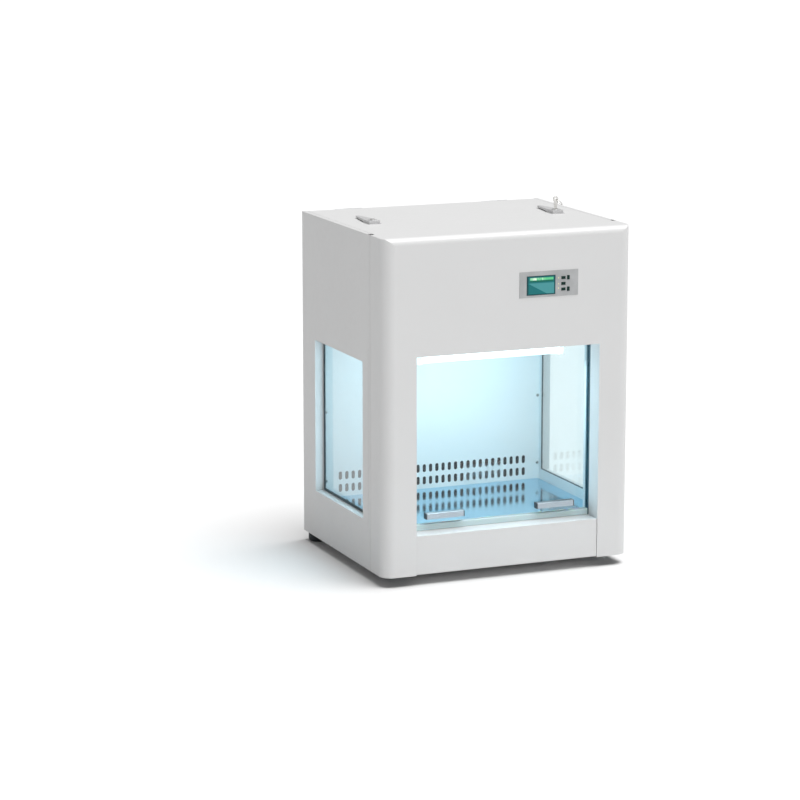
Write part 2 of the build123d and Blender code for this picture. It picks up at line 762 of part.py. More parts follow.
def impeller_base():
    """Height of the impeller's hub plate."""
    return plenum_top - inlet_lip + inlet_overlap - impeller_height


def make_impeller():
    """Backward-curved wheel with the outer rotor that it is riveted to."""
    z0 = impeller_base()
    z1 = z0 + impeller_height
    eye = inlet_r + plenum_sheet + eye_gap
    wheel = upright(0, 0, z0, z0 + impeller_plate, impeller_r)
    wheel += upright(0, 0, z1 - impeller_plate, z1, impeller_r)
    x, y, radius = blade_arc
    arc = upright(x, y, z0 + impeller_plate / 2, z1 - impeller_plate / 2, radius)
    arc -= upright(x, y, z0, z1, radius - impeller_plate)
    span = upright(0, 0, z0, z1, impeller_r - over)
    span -= upright(0, 0, z0 - over, z1 + over, motor_cup_r + blade_clear)
    left, right, inner = blade_sector
    blade = arc & span & block(left, right, inner, impeller_r, z0, z1)
    for i in range(blade_count):
        wheel += Rot(0, 0, 360 / blade_count * i) * blade
    wheel -= upright(0, 0, z1 - inlet_overlap - inlet_gap, z1 + over, eye)
    roof = z0 + motor_cup_height
    wheel += upright(0, 0, z0, roof, motor_cup_r)
    wheel -= upright(0, 0, z0 - over, roof - motor_cup_roof, motor_cup_r - motor_cup_wall)
    wheel += upright(0, 0, z0 + motor_hub_rise, roof, motor_hub_r)
    wheel -= upright(0, 0, z0 - over, roof - motor_cup_roof, motor_shaft_r + shaft_fit)
    return Pos(0, filter_middle(), 0) * wheel


def make_motor():
    """Fixed base and shaft of the blower motor."""
    z0 = impeller_base()
    base_top = z0 - motor_gap
    y = filter_middle()
    motor = upright(0, y, base_top - motor_base_height, base_top, motor_base_r)
    motor += upright(0, y, base_top - over, z0 + motor_cup_height - motor_cup_roof - over, motor_shaft_r)
    return motor


def make_motor_bracket():
    """Channel across the plenum box that carries the motor."""
    top = impeller_base() - motor_gap - motor_base_height
    y = filter_middle()
    x = plenum_half - plenum_sheet
    low = plenum_z + plenum_sheet
    bar = block(-x, x, y - bracket_width / 2, y + bracket_width / 2, top - skin, top)
    for side in (-1, 1):
        x0, x1 = sorted((side * x, side * (x - skin)))
        bar += block(x0, x1, y - bracket_width / 2, y + bracket_width / 2, low, top)
    for side in (-1, 1):
        y0, y1 = sorted((y + side * bracket_width / 2, y + side * (bracket_width / 2 - skin)))
        bar += block(-x, x, y0, y1, max(low, top - bracket_height), top)
    return bar


def prefilter_box(grow, y0, y1):
    """Upright box round the prefilter's place, grown all round."""
    x = prefilter_width / 2 + grow
    z = prefilter_height / 2 + grow
    return block(-x, x, y0, y1, prefilter_centre - z, prefilter_centre + z)


def make_prefilter_frame():
    """Open channel that holds the prefilter against the rear grille."""
    y1 = rear_panel_y - skin
    y0 = y1 - prefilter_thickness - skin
    frame = prefilter_box(skin, y0, y1) - prefilter_box(-prefilter_rim, y0 - over, y1 + over)
    return frame - prefilter_box(0, y0 + skin, y1 + over)


def make_prefilter():
    """Coarse pad in front of the fresh air intake."""
    y1 = rear_panel_y - skin
    return prefilter_box(0, y1 - prefilter_thickness, y1)


# ------------------------------------------------------------------ lamps
def make_tube(half, d, z):
    """Lamp tube with its end caps."""
    y = depth(d)
    tube = along_x(-half, half, y, z, lamp_r)
    for side in (-1, 1):
        x0, x1 = sorted((side * half, side * (half - lamp_cap_length)))
        tube += along_x(x0, x1, y, z, lamp_r + lamp_cap_proud)
    return tube


def make_holders():
    """Sockets that hang both tubes from the ceiling."""
    holders = []
    for half, d, z in ((led_half, led_depth, led_height), (uv_half, uv_depth, uv_height)):
        for side in (-1, 1):
            x0, x1 = sorted((side * half, side * (half + holder_width)))
            y = depth(d)
            holder = block(x0, x1, y - holder_depth / 2, y + holder_depth / 2,
                           z - lamp_r - holder_under, chamber_top)
            bottom = holder.edges().filter_by(Axis.X).group_by(Axis.Z)[0]
            holders.append(fillet(bottom, lamp_r))
    return holders


# ------------------------------------------------------------------ control panel
def make_control_plate():
    """Thin plate on the front sheet, cut out for the display, keys and status lights."""
    x0, x1, z0, z1 = plate_box
    y0 = front_y - plate_thickness
    plate = block(x0, x1, y0, front_y, z0, z1)
    dx0, dx1, dz0, dz1 = display_box
    plate -= block(dx0, dx1, y0 - over, front_y + over, dz0, dz1)
    for cut in panel_cut(y0 - over, front_y + over, key_clearance):
        plate -= cut
    return plate


def make_display_lens():
    """Clear window over the display."""
    x0, x1, z0, z1 = display_box
    lens = block(x0, x1, front_y - plate_thickness - display_proud, front_y, z0, z1)
    return chamfer(lens.faces().sort_by(Axis.Y)[0].edges(), display_edge)


def make_display_module():
    """Display between the front sheet and the control board."""
    x0, x1, z0, z1 = display_box
    return block(x0 - module_margin, x1 + module_margin, front_y + skin, depth(board_depth),
                 z0 - module_margin, z1 + module_margin)


def make_key(x, z, width, height):
    """One panel key with the flange that keeps it behind the sheet."""
    inner = front_y + skin + slip
    back = inner + key_flange_thickness
    key = block(x - width / 2, x + width / 2, front_y - key_proud, back, z - height / 2, z + height / 2)
    key = fillet(key.faces().sort_by(Axis.Y)[0].edges(), key_edge_r)
    return key + block(x - width / 2 - key_flange, x + width / 2 + key_flange, inner, back,
                       z - height / 2 - key_flange, z + height / 2 + key_flange)


def make_status_leds():
    """Status lights, from the plate's face back to the control board."""
    leds = []
    for z in led_rows:
        led = along_y(led_column, front_y - plate_thickness - led_proud, depth(board_depth), z, status_led_r)
        leds.append(fillet(led.edges().sort_by(Axis.Y)[0], led_edge_r))
    return leds


def make_control_board():
    """Circuit board with a switch behind each key and four standoffs to the front sheet."""
    x0, x1, z0, z1 = plate_box
    x0 += board_margin
    x1 -= board_margin
    y0 = depth(board_depth)
    board = block(x0, x1, y0, y0 + board_thickness, z0, z1)
    switch_front = front_y + skin + slip + key_flange_thickness + key_travel + switch_gap
    for x, z, _, _ in key_list():
        board += block(x - switch_width / 2, x + switch_width / 2, switch_front, y0,
                       z - switch_width / 2, z + switch_width / 2)
    for x in (x0 + standoff_inset, x1 - standoff_inset):
        for z in (z0 + standoff_inset, z1 - standoff_inset):
            board += along_y(x, front_y + skin, y0, z, standoff_r)
    return board


# ------------------------------------------------------------------ latches, right-hand
def make_latch_base():
    """Low base plate under the latch's lever."""
    width, length = latch_base
    y = depth(latch_depth)
    base = block(latch_x - width / 2, latch_x + width / 2, y - length / 2, y + length / 2,
                 cabinet_height, cabinet_height + latch_lift)
    base = fillet(base.edges().filter_by(Axis.Z), latch_corner_r)
    return base - upright(latch_x, y, cabinet_height - over, cabinet_height + latch_lift + over,
                          spindle_r + slip)


def make_latch_handle():
    """Cast lever: a low block with a round boss on the turning axis, tapering to the rear."""
    width, length, height = latch_block
    y = depth(latch_depth)
    z0 = cabinet_height + latch_lift + slip
    z1 = z0 + height
    front = y - length / 2
    back = y + length / 2
    tip = y + latch_tip
    nose_x, nose_y = latch_nose
    outline = Polyline((latch_x - width / 2, front), (latch_x + width / 2, front),
                       (latch_x + width / 2, back), (latch_x + nose_x, tip - nose_y), (latch_x, tip),
                       (latch_x - nose_x, tip - nose_y), (latch_x - width / 2, back), close=True)
    lever = Pos(0, 0, z0) * extrude(make_face(outline), height)
    low = z0 + latch_nose_height
    slope = Polyline((back - latch_slope, z1 + over), (back - latch_slope, z1), (tip, low),
                     (tip + over, low), (tip + over, z1 + over), close=True)
    slope = extrude(Plane.YZ * make_face(slope), half_width)
    lever -= slope
    lever = fillet(lever.edges().filter_by(Axis.Z).group_by(Axis.Y)[0], latch_corner_r)
    lever += upright(latch_x, y, cabinet_height - cam_drop, z0 + over, spindle_r)
    lever += upright(latch_x, y, z1 - over, latch_top, latch_boss[0])
    return lever - upright(latch_x, y, latch_top - plug_depth, latch_top + over, plug_r + plug_fit)


def make_lock_plug():
    """Round plug with its keyway, turned by the key."""
    y = depth(latch_depth)
    top = latch_top
    plug = upright(latch_x, y, top - plug_depth + plug_fit, top + plug_proud, plug_r)
    width, length = keyway
    return plug - block(latch_x - width / 2, latch_x + width / 2, y - length / 2, y + length / 2,
                        top - plug_depth + plug_floor, top + plug_proud + over)


def make_key_blank():
    """Flat key standing in the right-hand plug."""
    y = depth(latch_depth)
    top = latch_top
    z1 = top + key_height
    half = key_thickness / 2
    centre = z1 - key_bow_r
    bow = along_y(latch_x, y - half, y + half, centre, key_bow_r)
    neck = key_neck / 2
    bow += block(latch_x - neck, latch_x + neck, y - half, y + half, top + key_shoulder, centre)
    bow -= along_y(latch_x, y - half - over, y + half + over, centre + key_hole_rise, key_hole_r)
    blade = block(latch_x - key_blade / 2, latch_x + key_blade / 2, y - half, y + half,
                  top - plug_depth + plug_floor, top + key_shoulder + over)
    return bow + blade


def make_latch_cam():
    """Arm under the cover; it points to the front while the latch is released."""
    y = depth(latch_depth)
    z1 = cabinet_height - cam_drop
    z0 = z1 - cam_thickness
    cam = upright(latch_x, y, z0, z1, cam_width / 2)
    cam += block(latch_x - cam_width / 2, latch_x + cam_width / 2, y - cam_length, y, z0, z1)
    cam = fillet(cam.edges().filter_by(Axis.Z).group_by(Axis.Y)[0], latch_corner_r)
    nut_r, nut_height = cam_nut
    return cam + upright(latch_x, y, z0 - nut_height, z0, nut_r)


def make_latch_keeper():
    """Bracket on the side panel, over the place where the turned cam comes to lie."""
    y = depth(latch_depth)
    x1 = half_width - skin
    x0 = x1 - keeper_reach
    z0 = cabinet_height - cam_drop + slip
    keeper = block(x0, x1, y - keeper_width / 2, y + keeper_width / 2, z0, z0 + skin)
    keeper += block(x1 - skin, x1, y - keeper_width / 2, y + keeper_width / 2, z0 - keeper_drop, z0 + skin)
    return keeper


# ------------------------------------------------------------------ hinges
def make_hinge(centre):
    """Fixed leaf with its pin, and the cover's leaf."""
    half = hinge_width / 2
    split = hinge_width / 4
    leaf_y = rear_panel_y
    fixed = block(centre - half, centre + half, leaf_y, leaf_y + hinge_sheet, knuckle_z - leaf_length,
                  knuckle_z - knuckle_r - leaf_gap)
    fixed += block(centre - split, centre + split, leaf_y, leaf_y + hinge_sheet,
                   knuckle_z - knuckle_r - over, knuckle_z)
    fixed += along_x(centre - split, centre + split, knuckle_y, knuckle_z, knuckle_r)
    fixed += along_x(centre - half, centre + half, knuckle_y, knuckle_z, pin_r)
    gap = split + knuckle_split
    plate_rear = knuckle_y - knuckle_r - leaf_setback
    z0 = sheet_z - hinge_sheet
    swing = []
    for side in (-1, 1):
        x0, x1 = sorted((centre + side * gap, centre + side * half))
        knuckle = along_x(x0, x1, knuckle_y, knuckle_z, knuckle_r)
        knuckle += block(x0, x1, plate_rear - over, knuckle_y, z0, sheet_z)
        swing.append(knuckle - along_x(x0 - over, x1 + over, knuckle_y, knuckle_z, pin_r + pin_fit))
    plate = block(centre - half, centre + half, knuckle_y - knuckle_r - leaf_length, plate_rear,
                  z0, sheet_z)
    moving = plate + swing[0] + swing[1]
    clear = along_x(centre - split - knuckle_split, centre + split + knuckle_split, knuckle_y, knuckle_z,
                    knuckle_r + slip)
    return fixed, moving - clear


# ------------------------------------------------------------------ fasteners, feet, supply
def make_screws():
    """Pan-head screws of the rear panel and the back liner."""
    screws = []
    x = half_width - inner_return / 2 - skin
    y = depth(chamber_back)
    for side in (-1, 1):
        for z in rear_screw_rows:
            screw = along_y(side * x, rear_y, rear_y + rear_screw_head, z, screw_head_r)
            screws.append(fillet(screw.edges().sort_by(Axis.Y)[-1], screw_edge_r))
        for z in liner_screw_rows:
            screw = along_y(side * liner_screw_x, y - screw_head, y, z, liner_screw_r)
            screws.append(fillet(screw.edges().sort_by(Axis.Y)[0], screw_edge_r))
    return screws


def make_feet():
    """Rubber feet, each with the stem that is pressed into the base."""
    feet = []
    for side in (-1, 1):
        for x, d in (rear_foot, front_foot):
            foot = upright(side * x, depth(d), 0, base_z, foot_r)
            foot = fillet(foot.edges().sort_by(Axis.Z)[0], foot_edge_r)
            feet.append(foot + upright(side * x, depth(d), base_z - over, floor_z, foot_stem_r))
    return feet


def make_power_inlet():
    """Three-pin appliance inlet on the rear panel."""
    width, height = inlet_flange
    y = rear_panel_y
    face = y + inlet_plate
    inlet = block(inlet_x - width / 2, inlet_x + width / 2, y, face, inlet_z - height / 2,
                  inlet_z + height / 2)
    inlet = fillet(inlet.edges().filter_by(Axis.Y), inlet_corner_r)
    body_width, body_height = inlet_body
    inlet += block(inlet_x - body_width / 2, inlet_x + body_width / 2, y - inlet_length, y,
                   inlet_z - body_height / 2, inlet_z + body_height / 2)
    socket_width, socket_height = inlet_socket
    floor_y = face - inlet_socket_depth
    socket = block(inlet_x - socket_width / 2, inlet_x + socket_width / 2, floor_y, face + over,
                   inlet_z - socket_height / 2, inlet_z + socket_height / 2)
    inlet -= chamfer(socket.edges().filter_by(Axis.Y).group_by(Axis.Z)[-1], inlet_chamfer)
    pin_width, pin_length, pin_height = inlet_pin
    for dx, dz in inlet_pins:
        x = inlet_x + dx
        z = inlet_z + dz
        inlet += block(x - pin_width / 2, x + pin_width / 2, floor_y - over, floor_y + pin_length,
                       z - pin_height / 2, z + pin_height / 2)
    return inlet


def make_power_supply():
    """Power supply standing on the base pan behind the chamber."""
    width, length, height = supply_size
    y1 = rear_panel_y - skin - inlet_length - supply_gap
    y0 = y1 - length
    x1 = inlet_x - inlet_body[0]
    x0 = x1 - width
    supply = block(x0, x1, y0, y1, floor_z, floor_z + height)
    for i in range(supply_vents):
        z = floor_z + vent_start + vent_pitch * i
        supply -= block(x0 - over, x1 + over, y0 - over, y0 + vent_depth, z, z + vent_height)
    return supply


save(make_cover(), "hood_cover")
save_pair(make_side_panel(), "side_panel")
save(make_base_pan(), "base_pan")
save(make_front_sill(), "front_sill")
save(make_rear_panel(), "rear_panel")
save_pair(make_liner(), "liner")
save(make_back_liner(), "back_liner")
save(make_work_surface(), "work_surface")
save_pair(make_window_gasket(), "window_gasket")
save_pair(make_window_glass(), "window_glass")
save_pair(make_sash_guide(), "sash_guide")
save(make_sash_glass(), "sash_glass")
save(make_sash_seal(), "sash_bottom_seal")
save(make_grip(-1), "left_sash_grip")
save(make_grip(1), "right_sash_grip")
save_group(make_grip_caps(), "sash_grip_caps")
save_group(make_grip_screws(), "sash_grip_screws")
save(make_diffuser(), "diffuser_plate")
save(make_hepa_frame(), "filter_frame")
save(make_hepa_media(), "filter_media")
save(make_hepa_gasket(), "filter_gasket")
save(make_plenum(), "plenum_box")
save(make_impeller(), "blower_impeller")
save(make_motor(), "blower_motor")
save(make_motor_bracket(), "motor_bracket")
save(make_prefilter(), "prefilter_pad")
save(make_prefilter_frame(), "prefilter_frame")
save(make_tube(led_half, led_depth, led_height), "led_tube")
save(make_tube(uv_half, uv_depth, uv_height), "uv_tube")
save_group(make_holders(), "lamp_holders")
save(make_control_plate(), "control_plate")
save(make_display_lens(), "display_lens")
save(make_display_module(), "display_module")
save_group(make_status_leds(), "status_leds")
save(make_control_board(), "control_board")
for number, place in enumerate(key_list(), start=1):
    save(make_key(*place), f"panel_key_{number}")
latch_base_plate = make_latch_base()
save_group([latch_base_plate, mirrored(latch_base_plate)], "latch_bases")
save_pair(make_latch_handle(), "latch_handle")
save_pair(make_latch_cam(), "latch_cam")
save_pair(make_lock_plug(), "lock_plug")
save(make_key_blank(), "lock_key")
latch_keeper = make_latch_keeper()
save_group([latch_keeper, mirrored(latch_keeper)], "latch_keepers")
leaves = [make_hinge(side * hinge_x) for side in (-1, 1)]
save_group([pair[0] for pair in leaves], "hinge_fixed_leaves")
save_group([pair[1] for pair in leaves], "hinge_cover_leaves")
save_group(make_screws(), "panel_screws")
save_group(make_feet(), "rubber_feet")
save(make_power_inlet(), "power_inlet")
save(make_power_supply(), "power_supply")
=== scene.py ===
import json
import math
import random

import bmesh
import bpy
from mathutils import Matrix, Vector


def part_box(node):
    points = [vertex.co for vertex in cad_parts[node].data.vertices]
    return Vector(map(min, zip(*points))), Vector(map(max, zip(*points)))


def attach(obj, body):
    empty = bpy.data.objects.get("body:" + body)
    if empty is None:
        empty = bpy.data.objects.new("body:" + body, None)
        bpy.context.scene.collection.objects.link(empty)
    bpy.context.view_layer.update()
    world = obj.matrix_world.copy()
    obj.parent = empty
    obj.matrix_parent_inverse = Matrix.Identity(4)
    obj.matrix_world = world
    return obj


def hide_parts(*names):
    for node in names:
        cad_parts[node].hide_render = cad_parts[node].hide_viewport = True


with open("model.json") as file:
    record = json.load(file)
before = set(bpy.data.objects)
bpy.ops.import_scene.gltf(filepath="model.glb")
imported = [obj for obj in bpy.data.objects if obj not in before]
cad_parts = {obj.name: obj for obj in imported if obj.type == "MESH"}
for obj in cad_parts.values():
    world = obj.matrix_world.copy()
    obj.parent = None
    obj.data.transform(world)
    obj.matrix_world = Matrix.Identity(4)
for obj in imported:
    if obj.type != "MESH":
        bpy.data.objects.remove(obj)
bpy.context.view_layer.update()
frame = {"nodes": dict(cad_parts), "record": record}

MM = 0.001

# Camera, in the row frame. The lens is a focal length in pixels of an 800 pixel frame.
CAMERA_PLACE = (-2.4737, -5.6336, 1.5652)
CAMERA_YAW = 0.39196
CAMERA_PITCH = 0.19860
FOCAL_PIXELS = 2986.1
FRAME_PIXELS = 800
SENSOR_MM = 36.0

# Colours, as linear values, and sizes that more than one place uses.
WHITE_COAT = (0.615, 0.615, 0.615)
CYAN_LIGHT = (0.57, 0.87, 1.0)
LAMP_LIGHT = (0.80, 0.92, 0.98)
COAT_PEEL_MM = 0.05             # depth of the powder coat's orange peel
COAT_CLOUD = 0.975              # how dark the coat's faint clouds are
LIGHT_GAP = 2 * MM              # from an unseen light to the face that it stands for
JOIN = 0.001 * MM               # points closer than this are one point


# ------------------------------------------------------------------ shader building
class Recipe:
    """One Principled material, built node by node. Coordinates are metres in the row frame."""

    def __init__(self, name, **sockets):
        self.material = bpy.data.materials.new(name)
        self.material.use_nodes = True
        self.tree = self.material.node_tree
        self.tree.nodes.clear()
        output = self.tree.nodes.new("ShaderNodeOutputMaterial")
        self.shader = self.tree.nodes.new("ShaderNodeBsdfPrincipled")
        self.tree.links.new(self.shader.outputs[0], output.inputs[0])
        self.place = self.tree.nodes.new("ShaderNodeTexCoord").outputs["Object"]
        self.set(**sockets)

    def set(self, **sockets):
        """Constants on the shader's own sockets."""
        for key, value in sockets.items():
            self.shader.inputs[key.replace("_", " ")].default_value = value
        return self

    def feed(self, key, value):
        """Connects a node's output to one of the shader's sockets."""
        self.tree.links.new(value, self.shader.inputs[key])
        return self

    def node(self, kind, inputs=(), **properties):
        """Adds a node; inputs are (socket, value or output) pairs."""
        made = self.tree.nodes.new(kind)
        for key, value in properties.items():
            setattr(made, key, value)
        for key, value in inputs:
            if isinstance(value, bpy.types.NodeSocket):
                self.tree.links.new(value, made.inputs[key])
            else:
                made.inputs[key].default_value = value
        return made

    def noise(self, scale, detail=2.0, stretch=(1, 1, 1)):
        """Noise with features about 1 / scale metres wide."""
        place = self.node("ShaderNodeMapping", [("Vector", self.place), ("Scale", stretch)])
        made = self.node("ShaderNodeTexNoise", [("Vector", place.outputs[0]), ("Scale", scale),
                                                ("Detail", detail)])
        return made.outputs["Fac"]

    def cells(self, scale):
        """Random value for each cell of a Voronoi pattern."""
        made = self.node("ShaderNodeTexVoronoi", [("Vector", self.place), ("Scale", scale)])
        return made.outputs["Color"]

    def math(self, operation, first, second=0.0):
        """One arithmetic step."""
        made = self.node("ShaderNodeMath", [(0, first), (1, second)], operation=operation)
        return made.outputs[0]

    def spread(self, value, low, high, start=0.3, end=0.7):
        """Maps start..end onto low..high."""
        made = self.node("ShaderNodeMapRange", [("Value", value), ("From Min", start), ("From Max", end),
                                                ("To Min", low), ("To Max", high)])
        return made.outputs[0]

    def mix(self, share, first, second):
        """Colour between two colours."""
        made = self.node("ShaderNodeMix", data_type="RGBA")
        for key, value in ((0, share), (6, first), (7, second)):
            if isinstance(value, bpy.types.NodeSocket):
                self.tree.links.new(value, made.inputs[key])
            else:
                made.inputs[key].default_value = value
        return made.outputs[2]

    def bump(self, height, depth_mm, strength=1.0):
        """Surface relief, depth_mm deep where height runs from 0 to 1."""
        made = self.node("ShaderNodeBump", [("Height", height), ("Distance", depth_mm * MM),
                                            ("Strength", strength)])
        return self.feed("Normal", made.outputs[0])

    def axes(self):
        """X, Y and Z of the shaded point."""
        return self.node("ShaderNodeSeparateXYZ", [("Vector", self.place)]).outputs

    def between(self, value, low, high, soft=0.0001):
        """1 inside low..high, 0 outside, with soft edges."""
        rise = self.spread(value, 0.0, 1.0, low - soft, low + soft)
        fall = self.spread(value, 1.0, 0.0, high - soft, high + soft)
        return self.math("MULTIPLY", rise, fall)


def tone(red, green, blue):
    """Opaque colour from linear values."""
    return (red, green, blue, 1.0)


def shaded(colour, factor):
    """Darker or lighter copy of a colour."""
    return tone(*(channel * factor for channel in colour[:3]))


# ------------------------------------------------------------------ materials
def coated(name, colour, roughness, peel_mm, coat):
    """Powder coat or enamel over sheet metal: orange peel, faint cloudiness and fine grain."""
    made = Recipe(name, Coat_Weight=coat, Coat_Roughness=0.22, IOR=1.5)
    cloud = made.noise(5.0, 3.0)
    grain = made.noise(1800.0, 2.0)
    drift = made.math("ADD", made.math("MULTIPLY", cloud, 0.7), made.math("MULTIPLY", grain, 0.3))
    made.feed("Base Color", made.mix(made.spread(drift, 0.0, 1.0), shaded(colour, COAT_CLOUD), colour))
    made.feed("Roughness", made.spread(made.noise(90.0), roughness - 0.05, roughness + 0.05))
    made.bump(made.noise(620.0, 3.0), peel_mm, 0.5)
    return made.material


def coat_with_painted_shade_inside(name, colour, painted_shade_tone, plane_y):
    """Sheet coated on its outside; in front of the plane its face gets a dark teal painted shade for the
    shade inside the casing.
    """
    made = Recipe(name, Specular_IOR_Level=0.2)
    # Painted shade: the face in front of the plane takes a dark teal tone instead of the coat.
    painted_shade_mask = made.spread(made.axes()[1], 1.0, 0.0, plane_y - 0.2 * MM, plane_y)
    cloud = made.mix(made.spread(made.noise(5.0, 3.0), 0.0, 1.0), shaded(colour, COAT_CLOUD), colour)
    made.feed("Base Color", made.mix(painted_shade_mask, cloud, painted_shade_tone))
    made.feed("Roughness", made.spread(made.noise(90.0), 0.41, 0.51))
    made.bump(made.noise(620.0, 3.0), COAT_PEEL_MM, 0.5)
    return made.material


def moulded(name, colour, roughness, grain_mm=0.02, **sockets):
    """Plastic or rubber with a fine moulded grain."""
    made = Recipe(name, **sockets)
    cloud = made.noise(35.0, 3.0)
    made.feed("Base Color", made.mix(made.spread(cloud, 0.0, 1.0), shaded(colour, 0.88), shaded(colour, 1.1)))
    made.feed("Roughness", made.spread(made.noise(260.0), roughness - 0.06, roughness + 0.06))
    made.bump(made.noise(1500.0, 2.0), grain_mm, 0.6)
    return made.material


def rolled(name, colour, roughness, stretch, line_mm=0.004):
    """Rolled, brushed or extruded metal: fine lines along one direction."""
    made = Recipe(name, Metallic=1.0)
    lines = made.noise(30.0, 5.0, stretch)
    cloud = made.noise(9.0, 3.0)
    made.feed("Base Color", made.mix(made.spread(cloud, 0.0, 1.0), shaded(colour, 0.94), colour))
    made.feed("Roughness", made.spread(lines, roughness * 0.75, roughness * 1.3))
    made.bump(lines, line_mm, 0.5)
    return made.material


def galvanised(name, colour):
    """Zinc-plated sheet with faint crystals."""
    made = Recipe(name, Metallic=1.0)
    crystal = made.node("ShaderNodeSeparateColor", [("Color", made.cells(140.0))]).outputs[0]
    made.feed("Base Color", made.mix(crystal, shaded(colour, 0.8), colour))
    made.feed("Roughness", made.spread(crystal, 0.28, 0.46, 0.0, 1.0))
    made.bump(made.noise(900.0), 0.01, 0.4)
    return made.material


def cast(name, colour, roughness, metallic=1.0):
    """Die-cast metal with a grainy satin skin."""
    made = Recipe(name, Metallic=metallic)
    skin = made.noise(700.0, 4.0)
    made.feed("Base Color", made.mix(made.spread(skin, 0.0, 1.0), shaded(colour, 0.78), colour))
    made.feed("Roughness", made.spread(made.noise(160.0, 3.0), roughness - 0.08, roughness + 0.1))
    made.bump(skin, 0.03, 0.6)
    return made.material


def clear(name, colour, roughness=0.01, reflect=0.5):
    """Float glass with barely uneven faces."""
    made = Recipe(name, Transmission_Weight=1.0, IOR=1.46, Roughness=roughness, Specular_IOR_Level=reflect)
    cloud = made.noise(14.0, 2.0)
    made.feed("Base Color", made.mix(made.spread(cloud, 0.0, 1.0), shaded(colour, 0.985), colour))
    return made.material


def seal_strip(name, colour):
    """Milky, slightly green extrusion."""
    made = Recipe(name, Transmission_Weight=0.2, IOR=1.42, Subsurface_Weight=0.2)
    lines = made.noise(40.0, 3.0, (0.05, 6.0, 6.0))
    made.feed("Base Color", made.mix(made.spread(lines, 0.0, 1.0), shaded(colour, 0.9), colour))
    made.feed("Roughness", made.spread(lines, 0.16, 0.3))
    made.bump(lines, 0.05, 0.5)
    return made.material


def filter_fabric(name, colour):
    """Felted fibres."""
    made = Recipe(name, Sheen_Weight=0.3, Roughness=0.9)
    fibres = made.noise(420.0, 6.0, (1.0, 0.35, 1.0))
    made.feed("Base Color", made.mix(made.spread(fibres, 0.0, 1.0), shaded(colour, 0.8), colour))
    made.bump(fibres, 0.25, 0.8)
    return made.material


def lamp_glass(name, colour, strength, node):
    """Frosted tube that glows less along its underside and a little less towards its ends."""
    low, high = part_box(node)
    underside = 0.8
    full_glow_z = low.z + 0.7 * (high.z - low.z)
    made = Recipe(name, Emission_Color=colour, Roughness=0.3)
    made.feed("Emission Strength", made.spread(made.axes()[2], underside, strength, low.z, full_glow_z))
    towards_ends = made.spread(made.math("ABSOLUTE", made.axes()[0]), 0.0, 1.0, 0.1, 0.22)
    made.feed("Base Color", made.mix(towards_ends, colour, shaded(colour, 0.9)))
    made.bump(made.noise(500.0, 2.0), 0.01, 0.4)
    return made.material


def painted_glow_holder(name, colour, painted_glow_strength, plane_y):
    """Milky plastic; the holders in front of the plane get a painted glow, emission that stands in for their
    tube's light.
    """
    made = Recipe(name, Emission_Color=colour)
    # Painted glow: emission on holders, which are no lamps.
    painted_glow_mask = made.spread(made.axes()[1], painted_glow_strength, 0.0, plane_y - 2 * MM, plane_y + 2 * MM)
    made.feed("Emission Strength", painted_glow_mask)
    grain = made.noise(300.0, 3.0)
    made.feed("Base Color", made.mix(made.spread(grain, 0.0, 1.0), shaded(colour, 0.93), colour))
    made.feed("Roughness", made.spread(made.noise(60.0), 0.35, 0.5))
    made.bump(grain, 0.02, 0.4)
    return made.material


def display_face(name, node):
    """Lit display: a bright bar near its top, a dark line under it and a paler slanting area at the lower
    right.

    The places are shares of the display's width and height, from its lower left corner.
    """
    low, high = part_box(node)
    made = Recipe(name, Roughness=0.14, Specular_IOR_Level=0.25, Emission_Strength=0.3)
    x, _, z = made.axes()[:3]
    across = made.spread(x, 0.0, 1.0, low.x, high.x)
    up = made.spread(z, 0.0, 1.0, low.z, high.z)

    def patch(sides, heights, soft_x, soft_z):
        return made.math("MULTIPLY", made.between(across, *sides, soft_x), made.between(up, *heights, soft_z))

    window = patch((0.06, 0.955), (0.06, 0.94), 0.006, 0.01)
    bar_sides = (0.11, 0.925)
    bar = patch(bar_sides, (0.77, 0.895), 0.008, 0.015)
    under = patch(bar_sides, (0.69, 0.745), 0.01, 0.012)
    slant = made.math("ADD", across, made.math("MULTIPLY", up, 1.15))
    paler_slant_area = made.math("MULTIPLY", made.spread(slant, 0.0, 1.0, 0.76, 0.775),
                      made.spread(up, 1.0, 0.0, 0.60, 0.64))
    blobs = made.spread(made.noise(260.0, 1.0, (1.0, 1.0, 0.2)), 0.0, 1.0, 0.42, 0.62)
    near = made.spread(made.math("ABSOLUTE", made.math("SUBTRACT", across, 0.36)), 1.0, 0.0, 0.05, 0.3)
    pixels = made.spread(made.noise(900.0), 0.96, 1.04)
    glint = made.math("MULTIPLY", made.math("MULTIPLY", blobs, near), pixels)
    face = made.mix(paler_slant_area, tone(0.002, 0.115, 0.122), tone(0.045, 0.215, 0.228))
    face = made.mix(window, tone(0.002, 0.042, 0.048), face)
    face = made.mix(under, face, tone(0.001, 0.09, 0.045))
    face = made.mix(bar, face, made.mix(glint, tone(0.09, 0.45, 0.20), tone(0.62, 0.78, 0.62)))
    made.feed("Base Color", face)
    made.feed("Emission Color", face)
    return made.material


